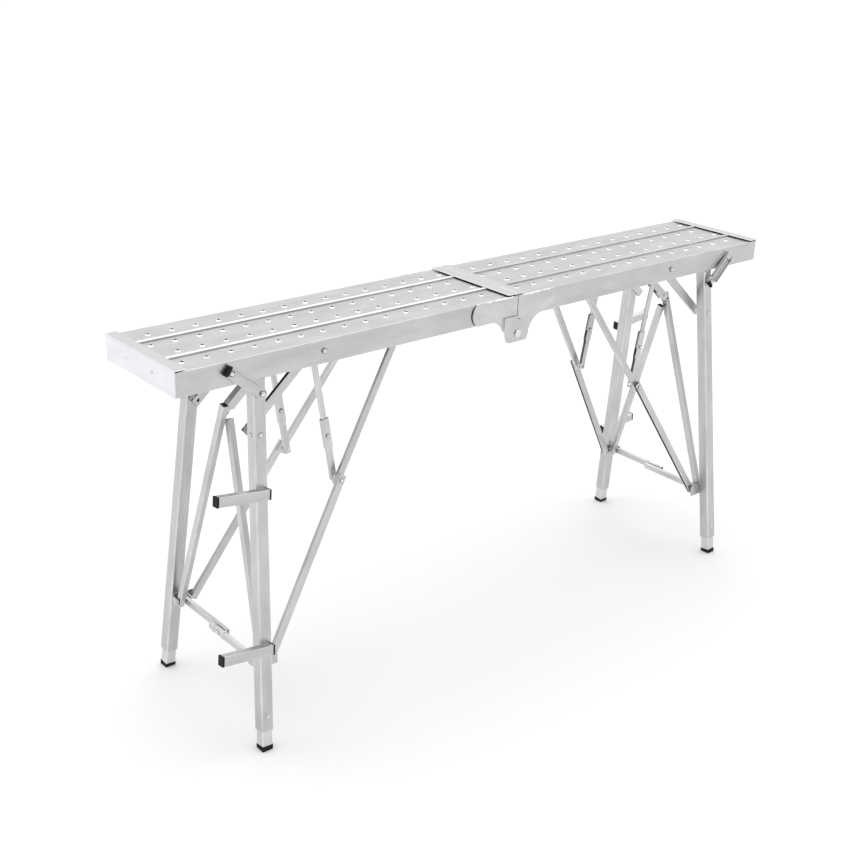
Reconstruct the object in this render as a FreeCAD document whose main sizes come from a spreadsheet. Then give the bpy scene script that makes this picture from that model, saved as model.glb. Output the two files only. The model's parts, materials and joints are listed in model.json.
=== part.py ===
import FreeCAD, Part
import math
import os
import re
from FreeCAD import Matrix, Placement, Rotation, Vector

# Folding work platform: two deck halves joined by a pin hinge under the deck, and under each
# half a pair of telescopic legs that fold inwards on links, struts, braces and stays.
# Millimetres, +Z up, origin on the floor under the middle of the deck, +X along the deck.
# Each half is described with x running outwards from the middle and is turned about Z for the
# other end. In a half, "side" is +1 or -1, the sign of y. The leg linkages lie in planes that
# spread outwards below, so a point in one is given as (x, z) at the plane's own height.

DIMENSIONS = (
    ("half_length", 980.0),
    ("deck_width", 300.0),
    ("deck_height", 960.0),
    ("rail_bottom", 898.0),
    ("sheet_wall", 2.0),
    ("rib_height", 3.0),
    ("rib_width", 11.0),
    ("rib_offset", 63.0),
    ("flange_width", 29.0),
    ("rail_lip", 12.0),
    ("middle_gap", 1.0),
    ("gusset_wall", 4.0),
    ("hinge_height", 857.0),
    ("hinge_pin_radius", 6.0),
    ("leg_width", 32.0),
    ("leg_wall", 2.0),
    ("leg_head", 31.0),
    ("leg_reach", 820.0),
    ("inner_width", 27.4),
    ("inner_length", 385.0),
    ("inner_drop", 39.0),
    ("foot_width", 28.6),
    ("foot_height", 11.0),
    ("hole_pitch", 50.0),
    ("button_radius", 4.0),
    ("pin_radius", 4.0),
    ("bolt_head", 3.0),
    ("running_gap", 0.05),
    ("link_width", 25.0),
    ("link_wall", 2.5),
    ("link_flange", 10.0),
    ("shaft_radius", 6.0),
    ("brace_shaft_radius", 5.0),
    ("loose_gap", 0.4),
    ("strut_width", 22.0),
    ("strut_depth", 10.0),
    ("arm_depth", 20.0),
    ("brace_width", 18.0),
    ("brace_depth", 10.0),
    ("stay_width", 15.0),
    ("stay_depth", 7.0),
    ("stay_head_width", 21.0),
    ("stay_sleeve", 78.0),
    ("stay_foot", 8.0),
    ("link_end", 12.0),
    ("bar_wall", 1.5),
    ("v_width", 18.0),
    ("v_depth", 15.0),
    ("spreader_width", 17.0),
    ("spreader_depth", 10.0),
    ("bracket_wall", 3.0),
    ("bracket_height", 30.0),
    ("ear_width", 18.0),
    ("ear_reach", 26.0),
    ("rung_length", 130.0),
    ("rung_inset", 7.0),
    ("rung_height", 24.0),
    ("rung_depth", 20.0),
    ("cap_length", 5.0),
)
SIZE = dict(DIMENSIONS)

# Pivots of one half, as (x, z) from the middle of the deck and the floor.
LINK_TOP = (845.0, 927.0)
LINK_LEG = (771.5, 864.0)
STRUT_SHAFT = (598.0, 928.0)
STRUT_LEG = (777.5, 768.2)
BRACE_TOP = (308.0, 925.0)
KNEE = (533.5, 580.6)
BRACE_FOOT = (770.0, 206.0)
STAY_JOINT = (553.0, 693.0)
LEG_FOOT = (826.0, 0.0)

# Distances from the middle plane, measured across the deck.
LEG_TOP_Y = 134.0
LEG_FOOT_Y = 227.0
UPPER_BRACE_KNEE_Y = 117.0
LINK_Y = 152.0
STRUT_Y = 109.5
STAY_Y = 97.3
BRACE_SPREAD = 0.131

# Stations down a leg from its top pivot, and the layers of what is pinned to its bracket.
BRACKET_STATION = 656.0
UPPER_RUNG_STATION = 230.8
LOWER_RUNG_STATION = 606.9
RUNG_TILT = 7.4
BUTTON_STATION = 782.0
CROSS_PIN_INSET = 36.0
INNER_LAYER = (-25.0, -10.0)
OUTER_LAYER = (-8.0, 7.0)
ARM_TIP_GAP = 23.0

doc = FreeCAD.newDocument("FoldingWorkPlatform")
sheet = doc.addObject("Spreadsheet::Sheet", "Dimensions")
for row, (alias, number) in enumerate(DIMENSIONS, 1):
    sheet.set(f"A{row}", alias)
    sheet.set(f"B{row}", str(number))
    sheet.setAlias(f"B{row}", alias)
doc.recompute()

nodes = []


def bound(text):
    """An expression on the sheet, from plain words that are its aliases."""
    def cell(match):
        word = match.group()
        return f"Dimensions.{word}" if word in SIZE else word
    return re.sub(r"[a-z_]+", cell, str(text))


def tie(item, links):
    for name, text in links.items():
        item.setExpression(name, bound(text))


def box(name, length, width, height, x="0", y="0", z="0"):
    item = doc.addObject("Part::Box", name)
    tie(item, {"Length": length, "Width": width, "Height": height})
    tie(item, {"Placement.Base.x": x, "Placement.Base.y": y, "Placement.Base.z": z})
    return item


def rod(name, radius, length, x="0", y="0", z="0", along="z"):
    turns = {
        "x": Rotation(Vector(0, 1, 0), 90),
        "y": Rotation(Vector(1, 0, 0), -90),
        "z": Rotation(),
    }
    item = doc.addObject("Part::Cylinder", name)
    item.Placement = Placement(Vector(), turns[along])
    tie(item, {"Radius": radius, "Height": length})
    tie(item, {"Placement.Base.x": x, "Placement.Base.y": y, "Placement.Base.z": z})
    return item


def fuse(name, *items):
    item = doc.addObject("Part::MultiFuse", name)
    item.Shapes = list(items)
    return item


def cut(name, base, *tools):
    item = doc.addObject("Part::Cut", name)
    item.Base = base
    item.Tool = tools[0] if len(tools) == 1 else fuse(name + "_tools", *tools)
    return item


def group(name, *items):
    item = doc.addObject("Part::Compound", name)
    item.Links = list(items)
    return item


def place(item, *frames):
    """Put a piece where the frames say, the last frame innermost."""
    total = Placement()
    for frame in frames:
        total = total.multiply(frame)
    item.Placement = total.multiply(item.Placement)
    return item


def keep(item, label):
    item.Label = label
    nodes.append(item)
    return item


def frame(origin, x_axis, z_axis):
    """A placement with its local X and Z along the given directions."""
    x_unit = Vector(x_axis).normalize()
    z_unit = Vector(z_axis)
    z_unit = (z_unit - x_unit * z_unit.dot(x_unit)).normalize()
    y_unit = z_unit.cross(x_unit)
    turn = Matrix(
        x_unit.x, y_unit.x, z_unit.x, origin[0],
        x_unit.y, y_unit.y, z_unit.y, origin[1],
        x_unit.z, y_unit.z, z_unit.z, origin[2],
        0, 0, 0, 1,
    )
    return Placement(turn)


def span(start, end):
    return math.hypot(end[0] - start[0], end[1] - start[1])


LEG_SPREAD = (LEG_FOOT_Y - LEG_TOP_Y) / (LINK_LEG[1] - LEG_FOOT[1])
HALVES = (("left", 180.0), ("right", 0.0))
NAMES = {("left", 1): "front", ("left", -1): "rear", ("right", 1): "rear", ("right", -1): "front"}


def half_turn(angle):
    return Placement(Vector(), Rotation(Vector(0, 0, 1), angle))


def side_frame(side, start, end, y_at_start, spread):
    """A linkage frame: local X runs from start to end, local Z points outwards."""
    drop = start[1] - end[1]
    across = y_at_start + spread * drop
    origin = Vector(start[0], side * y_at_start, start[1])
    target = Vector(end[0], side * across, end[1])
    return frame(origin, target - origin, Vector(0, side, spread))


def bar(name, length, width, depth, wall, open_side=0, before="0", after="0", lift="0"):
    """A tube along local X, or a channel open towards local +Y or -Y, lifted along local Z."""
    full = f"({length}) + ({before}) + ({after})"
    outer = box(
        name + "_outer", full, width, depth, f"-({before})", f"-({width})/2", f"({lift}) - ({depth})/2",
    )
    hollow = f"({width}) - ({wall})*2"
    start = f"-({width})/2 + ({wall})"
    if open_side > 0:
        hollow = f"({width})"
    if open_side < 0:
        hollow = f"({width})"
        start = f"-({width})/2 - ({wall})"
    inner = box(
        name + "_hollow", f"{full} + 2", hollow, f"({depth}) - ({wall})*2",
        f"-({before}) - 1", start, f"({lift}) - ({depth})/2 + ({wall})",
    )
    return outer, inner


def cross_hole(name, radius, x, length="80"):
    return rod(name, radius, length, x, "0", f"-({length})/2")


def profile_plate(name, points, thickness):
    """A flat plate in local XZ from corners and arcs, padded along local -Y by thickness."""
    body = doc.addObject("PartDesign::Body", name)
    planes = {item.Role: item for item in body.Origin.OriginFeatures}
    sketch = body.newObject("Sketcher::SketchObject", name + "_outline")
    sketch.AttachmentSupport = [(planes["XZ_Plane"], "")]
    sketch.MapMode = "FlatFace"
    corner = points[-1][-1]
    for point in points:
        end = Vector(point[-1][0], point[-1][1], 0)
        start = Vector(corner[0], corner[1], 0)
        if len(point) == 1:
            sketch.addGeometry(Part.LineSegment(start, end))
        else:
            middle = Vector(point[0][0], point[0][1], 0)
            sketch.addGeometry(Part.Arc(start, middle, end))
        corner = point[-1]
    pad = body.newObject("PartDesign::Pad", name + "_pad")
    pad.Profile = sketch
    pad.setExpression("Length", bound(thickness))
    body.Tip = pad
    return body


def leg_frame(side):
    """Local X runs down the leg from its top pivot, local Z is its outward face."""
    return side_frame(side, LINK_LEG, LEG_FOOT, LEG_TOP_Y, LEG_SPREAD)


def link_frame(side):
    """Local X runs from the leg's top link pivot to its leg pivot, local Z square to the leg."""
    outward = Vector(0, side, LEG_SPREAD).normalize()
    start = Vector(LINK_TOP[0], side * LINK_Y, LINK_TOP[1])
    along = leg_frame(side).Base - start
    along -= outward * along.dot(outward)
    return frame(start, along, outward)


def leg_point(side, station, inset):
    return leg_frame(side).multVec(Vector(station, 0, -inset))


def add_deck(half, turn):
    top = "deck_height - sheet_wall - rib_height"
    length = "half_length - middle_gap - 2*sheet_wall"
    start = "middle_gap + sheet_wall"
    shell = box(
        f"{half}_shell", length, "deck_width", f"{top} - rail_bottom",
        start, "-deck_width/2", "rail_bottom",
    )
    inside = box(
        f"{half}_inside", f"{length} + 2", "deck_width - 2*sheet_wall",
        f"{top} - rail_bottom - 2*sheet_wall", f"{start} - 1",
        "-deck_width/2 + sheet_wall", "rail_bottom + sheet_wall",
    )
    mouth = box(
        f"{half}_mouth", f"{length} + 2", "deck_width - 2*rail_lip - 2*sheet_wall", "20",
        f"{start} - 1", "-deck_width/2 + rail_lip + sheet_wall", "rail_bottom - 10",
    )
    ribs = [
        box(
            f"{half}_rib_{number}", "half_length - middle_gap - 2*flange_width", "rib_width",
            "rib_height + sheet_wall/2", "middle_gap + flange_width",
            f"{sign}*rib_offset - rib_width/2", f"{top} - sheet_wall/2",
        )
        for number, sign in enumerate((1, -1))
    ]
    holes = [
        rod(f"{half}_shaft_hole", "shaft_radius + running_gap", "deck_width + 2",
            STRUT_SHAFT[0], "-deck_width/2 - 1", STRUT_SHAFT[1], "y"),
    ]
    for side in (1, -1):
        name = f"{half}_stud_hole_{'a' if side > 0 else 'b'}"
        hole = rod(name, "pin_radius + running_gap", "20", "0", "0", "-14")
        holes.append(place(group(name + "_spot", hole), link_frame(side)))
    deck = cut(f"{half}_deck", fuse(f"{half}_skin", shell, *ribs), inside, mouth, *holes)
    keep(place(deck, half_turn(turn)), f"{half}_deck_sheet")


def add_end_channels(half, turn):
    """The pressed channel that closes each end, its top flange resting on the ribs."""
    ends = []
    for number, (web, flange) in enumerate((
        ("half_length - sheet_wall", "half_length - flange_width"),
        ("middle_gap", "middle_gap"),
    )):
        name = f"{half}_end_{number}"
        plate = box(
            name + "_web", "sheet_wall", "deck_width", "deck_height - rail_bottom",
            web, "-deck_width/2", "rail_bottom",
        )
        upper = box(
            name + "_top", "flange_width", "deck_width", "sheet_wall",
            flange, "-deck_width/2", "deck_height - sheet_wall",
        )
        lower = box(
            name + "_foot", "flange_width", "deck_width - 2*rail_lip - 4*sheet_wall", "sheet_wall",
            flange, "-deck_width/2 + rail_lip + 2*sheet_wall", "rail_bottom",
        )
        solid = fuse(name, plate, upper, lower)
        if number == 0:
            bores = [
                rod(f"{name}_hole_{spot}", "4.5", "10", "half_length - 5", spot * 56.0, 929.0, "x")
                for spot in (-1, 1)
            ]
            solid = cut(name + "_drilled", solid, *bores)
        ends.append(solid)
    keep(place(group(f"{half}_ends", *ends), half_turn(turn)), f"{half}_end_channels")


PLATE_TOP = 955.0
FLARE = ((98.0, 898.0), (62.0, 888.0), (46.0, 866.0), (39.0, 853.0), (34.0, 838.0))
SHORT_OUTLINE = (
    ((1.0, PLATE_TOP),), ((131.0, PLATE_TOP),), ((131.0, 898.0),), (FLARE[0],),
    (FLARE[1], FLARE[2]), (FLARE[3], FLARE[4]), ((31.0, 835.0),), ((-31.0, 835.0),),
    ((-38.0, 857.0), (-10.0, 893.66)), ((1.0, 893.66),),
)
LONG_OUTLINE = (
    ((1.0, PLATE_TOP),), ((134.0, PLATE_TOP),), ((152.0, 927.0), (134.0, 898.0)), (FLARE[0],),
    (FLARE[1], FLARE[2]), ((FLARE[2][0], 898.2),), ((1.0, 898.2),),
)
EAR_OUTLINE = (
    ((2.0, 903.0),), ((46.0, 903.0),), (FLARE[2],), (FLARE[3], FLARE[4]), ((31.0, 835.0),),
    ((-31.0, 835.0),), ((-38.0, 857.0), (-10.0, 893.66)), ((2.0, 893.66),),
)


def add_gussets(half, turn):
    """Plates welded on the rails that carry the middle hinge, one with its ear stepped out."""
    rail = SIZE["deck_width"] / 2
    wall = SIZE["gusset_wall"]
    step = 0.4
    hole = "hinge_pin_radius + running_gap"
    short = profile_plate(f"{half}_short_gusset", SHORT_OUTLINE, "gusset_wall")
    place(short, Placement(Vector(0, -rail, 0), Rotation()))
    long_plate = profile_plate(f"{half}_long_gusset", LONG_OUTLINE, "gusset_wall")
    place(long_plate, Placement(Vector(0, rail + wall, 0), Rotation()))
    ear = profile_plate(f"{half}_ear", EAR_OUTLINE, "gusset_wall")
    place(ear, Placement(Vector(0, rail + 2 * wall + step, 0), Rotation()))
    joggle = box(f"{half}_joggle", "40", "2", "4", "4", f"deck_width/2 + gusset_wall - 1", "898.6")
    pieces = []
    for number, solid in enumerate((short, fuse(f"{half}_stepped", long_plate, ear, joggle))):
        bore = rod(f"{half}_ear_bore_{number}", hole, "400", "0", "-200", "hinge_height", "y")
        pieces.append(cut(f"{half}_gusset_{number}", solid, bore))
    keep(place(group(f"{half}_gusset_pair", *pieces), half_turn(turn)), f"{half}_gussets")


def add_hinge_pins():
    """One bolt with a head each side, through the two pairs of ears."""
    pins = []
    for side in (1, -1):
        name = f"hinge_pin_{'rear' if side > 0 else 'front'}"
        inner = 146.5 if side > 0 else -161.9
        shank = rod(name + "_shank", "hinge_pin_radius", "15.4", "0", inner, "hinge_height", "y")
        heads = [
            rod(f"{name}_head_{spot}", "hinge_pin_radius + 4", "bolt_head", "0", at, "hinge_height", "y")
            for spot, at in enumerate((inner, inner + 12.4))
        ]
        pins.append(fuse(name, shank, *heads))
    keep(group("hinge_pin_pair", *pins), "hinge_pins")


def add_shafts(half, turn):
    """The strut shaft right across the rails, and the studs that the leg links turn on."""
    shaft = rod(
        f"{half}_shaft", "shaft_radius", "deck_width + 5",
        STRUT_SHAFT[0], "-deck_width/2 - 2.5", STRUT_SHAFT[1], "y",
    )
    pieces = [shaft]
    for side in (1, -1):
        name = f"{half}_stud_{'a' if side > 0 else 'b'}"
        shank = rod(name + "_shank", "pin_radius", "link_wall + 10.5", "0", "0", "-10")
        cap = rod(name + "_cap", "pin_radius + 3", "3", "0", "0", "link_wall + 0.4")
        pieces.append(place(fuse(name, shank, cap), link_frame(side)))
    keep(place(group(f"{half}_shaft_set", *pieces), half_turn(turn)), f"{half}_pivot_shafts")


def add_hangers(half, turn):
    """Two plates under the deck and the short rod that the knee braces hang on."""
    top = "deck_height - 2*sheet_wall - rib_height"
    reach = 77.5
    plates = [
        box(f"{half}_hanger_{number}", "30", "3", f"{top} - {BRACE_TOP[1]} + 9",
            BRACE_TOP[0] - 15.0, sign * 50.0 - 1.5, BRACE_TOP[1] - 9.0)
        for number, sign in enumerate((1, -1))
    ]
    pin = rod(f"{half}_brace_pin", "brace_shaft_radius", 2 * reach,
              BRACE_TOP[0], -reach, BRACE_TOP[1], "y")
    hangers = fuse(f"{half}_hanger_set", *plates, pin)
    keep(place(hangers, half_turn(turn)), f"{half}_brace_hanger")


def add_leg(half, turn, side):
    name = f"{half}_{NAMES[half, side]}"
    home = half_turn(turn).multiply(leg_frame(side))
    wide = "leg_width"
    outer, hollow = bar(f"{name}_tube", "leg_reach", wide, wide, "leg_wall", 0, "leg_head")
    bore = rod(f"{name}_button_hole", "button_radius + running_gap", "leg_width/2 + 2",
               BUTTON_STATION, "0", "0")
    tube = cut(f"{name}_tube_cut", outer, hollow, bore)
    reach = leg_frame(side).inverse().multVec(link_frame(side).Base).z
    pin = rod(f"{name}_leg_pin", "pin_radius", f"{reach} - leg_width/2 + leg_wall + link_wall + 0.5",
              "0", "0", "leg_width/2 - leg_wall")
    head = rod(f"{name}_leg_pin_head", "pin_radius + 3", "3", "0", "0", f"{reach} + link_wall + 0.4")
    collar = rod(f"{name}_leg_collar", "pin_radius + 3", f"{reach} - leg_width/2",
                 "0", "0", "leg_width/2 - 0.3")
    station = BRACKET_STATION
    plate = box(
        f"{name}_plate", "bracket_height", "64.5", "bracket_wall",
        station - SIZE["bracket_height"] / 2, -12.5 if side > 0 else -52.0,
        "-leg_width/2 - bracket_wall",
    )
    ears = [
        box(f"{name}_ear_{number}", "ear_width", "bracket_wall", "ear_reach",
            f"{station} - ear_width/2", min(side * low, side * high), "-leg_width/2 - ear_reach")
        for number, (low, high) in enumerate(((25.5, 28.5), (-12.5, -9.5)))
    ]
    cross = rod(f"{name}_cross_pin", "pin_radius", "42", station,
                min(side * -13.0, side * 29.0), -CROSS_PIN_INSET, "y")
    foot_pin = rod(f"{name}_brace_stub", "pin_radius", "2", station, side * 39.0,
                   "-leg_width/2 - bracket_wall - 1")
    leg = fuse(f"{name}_leg_set", tube, pin, head, collar, plate, *ears, cross, foot_pin)
    keep(place(leg, home), f"{name}_leg")

    long = "inner_length"
    end = SIZE["leg_reach"] + SIZE["inner_drop"]
    outer, hollow = bar(f"{name}_inner", long, "inner_width", "inner_width", "leg_wall")
    drop = end - SIZE["inner_length"]
    holes = [
        rod(f"{name}_inner_hole_{number}", "button_radius + loose_gap", "inner_width/2 + 2",
            BUTTON_STATION - drop - number * SIZE["hole_pitch"], "0", "0")
        for number in range(5)
    ]
    inner = cut(f"{name}_inner_cut", outer, hollow, *holes)
    keep(place(inner, home, Placement(Vector(drop, 0, 0), Rotation())), f"{name}_inner_leg")

    shoe = box(f"{name}_shoe", "foot_height + 10", "foot_width", "foot_width",
               end, "-foot_width/2", "-foot_width/2")
    plug = box(f"{name}_plug", "20.5", "inner_width - 2*leg_wall - 1", "inner_width - 2*leg_wall - 1",
               end - 20.0, "-inner_width/2 + leg_wall + 0.5", "-inner_width/2 + leg_wall + 0.5")
    foot = place(fuse(f"{name}_foot_block", shoe, plug), leg_frame(side))
    floor = box(f"{name}_floor", "200", "200", "60", LEG_FOOT[0] - 100.0,
                side * LEG_FOOT_Y - 100.0, "-60")
    keep(place(cut(f"{name}_foot_cut", foot, floor), half_turn(turn)), f"{name}_foot")

    button = rod(f"{name}_button_rod", "button_radius", "5.2", BUTTON_STATION, "0",
                 "leg_width/2 - leg_wall - 0.1")
    keep(place(group(f"{name}_button_set", button), home), f"{name}_button")


def add_link(half, turn, side):
    """The leg's short outer link: a channel with its back against the rail and the leg."""
    name = f"{half}_{NAMES[half, side]}_link"
    local = link_frame(side)
    low_end = leg_frame(side).Base
    length = local.inverse().multVec(low_end).x
    plate = box(name + "_plate", length + 10.0, "link_width", "link_wall",
                "-10", "-link_width/2", "0")
    nose = rod(name + "_nose", "link_width/2", "link_wall", length)
    flanges = [
        box(f"{name}_flange_{number}", length + 2.0, "sheet_wall", "link_flange + link_wall",
            "-10", f"{sign}*(link_width/2 - sheet_wall/2) - sheet_wall/2", "0")
        for number, sign in enumerate((1, -1))
    ]
    top_hole = cross_hole(name + "_top_hole", "pin_radius + running_gap", "0")
    leg_hole = cross_hole(name + "_leg_hole", "pin_radius + running_gap", length)
    link = cut(name + "_cut", fuse(name + "_body", plate, nose, *flanges), top_hole, leg_hole)
    keep(place(link, half_turn(turn), local), name)


def add_struts(half, turn):
    """The diagonals from the strut shaft: one beside each leg, and one to the middle apex."""
    length = span(STRUT_SHAFT, STRUT_LEG)
    pair = []
    for side in (1, -1):
        name = f"{half}_strut_{'a' if side > 0 else 'b'}"
        outer, hollow = bar(name, length, "strut_width", "strut_depth", "bar_wall",
                            -side, "link_end", "link_end")
        holes = [
            cross_hole(name + "_shaft_hole", "shaft_radius + running_gap", "0"),
            cross_hole(name + "_end_hole", "pin_radius + loose_gap", length),
        ]
        strut = cut(name + "_cut", outer, hollow, *holes)
        local = side_frame(side, STRUT_SHAFT, STRUT_LEG, STRUT_Y, 0.0)
        pair.append(place(strut, local))
    keep(place(group(f"{half}_strut_pair", *pair), half_turn(turn)), f"{half}_side_struts")

    name = f"{half}_arm"
    reach = length - ARM_TIP_GAP
    outer, hollow = bar(name, reach, "strut_width", "arm_depth", "bar_wall", -1, "link_end")
    hole = cross_hole(name + "_shaft_hole", "shaft_radius + running_gap", "0")
    arm = cut(name + "_cut", outer, hollow, hole)
    local = side_frame(1, STRUT_SHAFT, STRUT_LEG, 0.0, 0.0)
    keep(place(arm, half_turn(turn), local), f"{half}_centre_strut")


def add_stays(half, turn):
    """Folding stays from the strut shaft to the knees, the upper link inside the lower."""
    uppers, lowers = [], []
    upper_length = span(STRUT_SHAFT, STAY_JOINT)
    lower_length = span(STAY_JOINT, KNEE)
    for side in (1, -1):
        name = f"{half}_stay_{'a' if side > 0 else 'b'}"
        outer, hollow = bar(name + "_upper", upper_length, "stay_width", "stay_depth",
                            "bar_wall", 0, "link_end", "4.5")
        hole = cross_hole(name + "_shaft_hole", "shaft_radius + running_gap", "0")
        body = cut(name + "_upper_cut", outer, hollow, hole)
        pin = rod(name + "_pin", "pin_radius - 0.5", "11.6", upper_length, "0", "-5.8")
        heads = [
            rod(f"{name}_pin_head_{number}", "pin_radius + 1.5", "1.3", upper_length, "0", at)
            for number, at in enumerate((5.7, -7.0))
        ]
        local = side_frame(side, STRUT_SHAFT, STAY_JOINT, STAY_Y, 0.0)
        uppers.append(place(fuse(name + "_upper_set", body, pin, *heads), local))

        sleeve, sleeve_hollow = bar(name + "_sleeve", "stay_sleeve/2 - 6", "stay_head_width",
                                    "stay_depth + 4", "bar_wall", side, "stay_sleeve/2 + 6")
        outer, hollow = bar(name + "_lower", lower_length, "stay_width",
                            "stay_depth + 4", "bar_wall", side, "0", "stay_foot")
        holes = [
            cross_hole(name + "_joint_hole", "pin_radius - 0.5 + running_gap", "0"),
            cross_hole(name + "_knee_hole", "pin_radius + loose_gap", lower_length),
        ]
        body = fuse(name + "_lower_body", sleeve, outer)
        local = side_frame(side, STAY_JOINT, KNEE, STAY_Y, 0.0)
        lowers.append(place(cut(name + "_lower_cut", body, sleeve_hollow, hollow, *holes), local))
    keep(place(group(f"{half}_stay_uppers", *uppers), half_turn(turn)), f"{half}_upper_stays")
    keep(place(group(f"{half}_stay_lowers", *lowers), half_turn(turn)), f"{half}_lower_stays")


def add_brace(half, turn, side):
    """A knee brace in two links that lie side by side when it is folded."""
    name = f"{half}_{NAMES[half, side]}"
    top_y = UPPER_BRACE_KNEE_Y - BRACE_SPREAD * (BRACE_TOP[1] - KNEE[1])
    length = span(BRACE_TOP, KNEE)
    local = side_frame(side, BRACE_TOP, KNEE, top_y, BRACE_SPREAD)
    knee_local = side_frame(side, KNEE, BRACE_FOOT, UPPER_BRACE_KNEE_Y, BRACE_SPREAD)
    reach = local.inverse().multVec(knee_local.Base).x
    outer, hollow = bar(f"{name}_upper", reach, "brace_width", "brace_depth", "bar_wall",
                        0, "link_end", "link_end + 2")
    hole = cross_hole(f"{name}_top_hole", "brace_shaft_radius + 1.2", "0")
    body = cut(f"{name}_upper_cut", outer, hollow, hole)
    head = rod(f"{name}_knee_head", "pin_radius + 2", "1.2", reach, "0", "-brace_depth/2 - 1")
    upper = fuse(f"{name}_upper_set", body, head)
    keep(place(upper, half_turn(turn), local), f"{name}_upper_brace")

    length = knee_local.inverse().multVec(
        side_frame(side, BRACE_FOOT, LEG_FOOT, UPPER_BRACE_KNEE_Y
                   + BRACE_SPREAD * (KNEE[1] - BRACE_FOOT[1]), 0.0).Base).x
    outer, hollow = bar(f"{name}_lower", length, "brace_width + 2", "brace_depth", "bar_wall",
                        side, "link_end + 2", "link_end/2", "brace_depth + 0.6")
    hole = cross_hole(f"{name}_foot_hole", "pin_radius + loose_gap", length)
    body = cut(f"{name}_lower_cut", outer, hollow, hole)
    rivet = rod(f"{name}_knee_rivet", "pin_radius", "brace_depth + 0.6", "0", "0", "brace_depth/2 + 0.8")
    cap = rod(f"{name}_knee_cap", "pin_radius + 2", "1.2", "0", "0", "1.5*brace_depth + 0.5")
    lower = fuse(f"{name}_lower_set", body, rivet, cap)
    keep(place(lower, half_turn(turn), knee_local), f"{name}_lower_brace")


def add_cross_links(half, turn, side):
    """What joins the two legs: a diagonal up to the apex, and half of the folding spreader."""
    name = f"{half}_{NAMES[half, side]}"
    pivot = leg_point(side, BRACKET_STATION, CROSS_PIN_INSET)
    lean = (LEG_FOOT[0] - LINK_LEG[0]) / (LINK_LEG[1] - LEG_FOOT[1])
    outward = Vector(1, 0, lean)
    apex = Vector(STRUT_LEG[0], 0, STRUT_LEG[1])
    layer, other = (INNER_LAYER, OUTER_LAYER) if side > 0 else (OUTER_LAYER, INNER_LAYER)
    before_apex = -14.0 if side > 0 else 25.0
    length = (apex - pivot).Length
    middle = (layer[0] + layer[1]) / 2
    outer, hollow = bar(f"{name}_diagonal", length, "v_width", "v_depth", "bar_wall",
                        0, "link_end", before_apex, middle)
    hole = cross_hole(f"{name}_diagonal_hole", "pin_radius + loose_gap", "0", "120")
    diagonal = cut(f"{name}_diagonal_cut", outer, hollow, hole)
    local = frame(pivot, apex - pivot, outward)
    keep(place(diagonal, half_turn(turn), local), f"{name}_diagonal")

    inward = Vector(0, -side, 0)
    depth = SIZE["spreader_depth"]
    middle = other[0] + 1.5 + depth / 2 if side > 0 else other[1] - 0.5 - depth / 2
    outer, hollow = bar(f"{name}_spreader", abs(pivot.y), "spreader_width", "spreader_depth",
                        "bar_wall", side, "link_end", "28", middle)
    hole = cross_hole(f"{name}_spreader_hole", "pin_radius + loose_gap", "0", "120")
    spreader = cut(f"{name}_spreader_cut", outer, hollow, hole)
    local = frame(pivot, inward, outward)
    keep(place(spreader, half_turn(turn), local), f"{name}_spreader")


def add_rungs(half, turn):
    """Two short rungs on the outer face of one leg, with plastic caps in their ends."""
    side = 1
    rungs, caps = [], []
    for number, station in enumerate((UPPER_RUNG_STATION, LOWER_RUNG_STATION)):
        name = f"{half}_rung_{number}"
        outer = box(name + "_outer", "rung_length", "rung_depth", "rung_height",
                    "0", "0", "-rung_height/2")
        hollow = box(name + "_hollow", "rung_length + 2", "rung_depth - 2*bar_wall",
                     "rung_height - 2*bar_wall", "-1", "bar_wall", "-rung_height/2 + bar_wall")
        centre = leg_point(side, station, -SIZE["leg_width"] / 2 - 0.02)
        lean = Rotation(Vector(1, 0, 0), math.degrees(math.atan(LEG_SPREAD)))
        tilt = Placement(Vector(), Rotation(Vector(0, 1, 0), -RUNG_TILT))
        shift = Placement(Vector(-SIZE["rung_inset"], 0, 0), Rotation())
        spot = Placement(centre, lean).multiply(tilt).multiply(shift)
        rungs.append(place(cut(name, outer, hollow), spot))
        for end, start in enumerate((-SIZE["cap_length"], SIZE["rung_length"])):
            face = box(f"{name}_cap_{end}", "cap_length", "rung_depth", "rung_height",
                       start, "0", "-rung_height/2")
            tongue = box(
                f"{name}_tongue_{end}", "13", "rung_depth - 2*bar_wall - 0.4",
                "rung_height - 2*bar_wall - 0.4", 0.0 if end == 0 else SIZE["rung_length"] - 13.0,
                "bar_wall + 0.2", "-rung_height/2 + bar_wall + 0.2",
            )
            caps.append(place(fuse(f"{name}_plug_{end}", face, tongue), spot))
    keep(place(group(f"{half}_rung_pair", *rungs), half_turn(turn)), f"{half}_rungs")
    keep(place(group(f"{half}_cap_set", *caps), half_turn(turn)), f"{half}_rung_caps")


for half, turn in HALVES:
    add_deck(half, turn)
    add_end_channels(half, turn)
    add_gussets(half, turn)
    add_shafts(half, turn)
    add_hangers(half, turn)
    add_struts(half, turn)
    add_stays(half, turn)
    add_rungs(half, turn)
    for side in (1, -1):
        add_link(half, turn, side)
        add_leg(half, turn, side)
        add_brace(half, turn, side)
        add_cross_links(half, turn, side)
add_hinge_pins()

doc.recompute()
failed = [item.Name for item in doc.Objects if {"Invalid", "Error"} & set(item.State)]
if failed:
    raise RuntimeError(f"objects failed to build: {failed}")
for item in nodes:
    if item.Shape.isNull() or not item.Shape.isValid() or not item.Shape.Solids:
        raise RuntimeError(f"bad shape: {item.Label}")

os.makedirs("parts", exist_ok=True)
for item in nodes:
    item.Shape.exportStep(os.path.join("parts", f"{item.Label}.step"))
    print(f"{item.Label}: {len(item.Shape.Solids)} solid(s), {item.Shape.Volume:.0f} mm3")
print(f"{len(nodes)} sub-parts")
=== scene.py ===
import json
import math
import random

import bmesh
import bpy
from mathutils import Matrix, Vector


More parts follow.
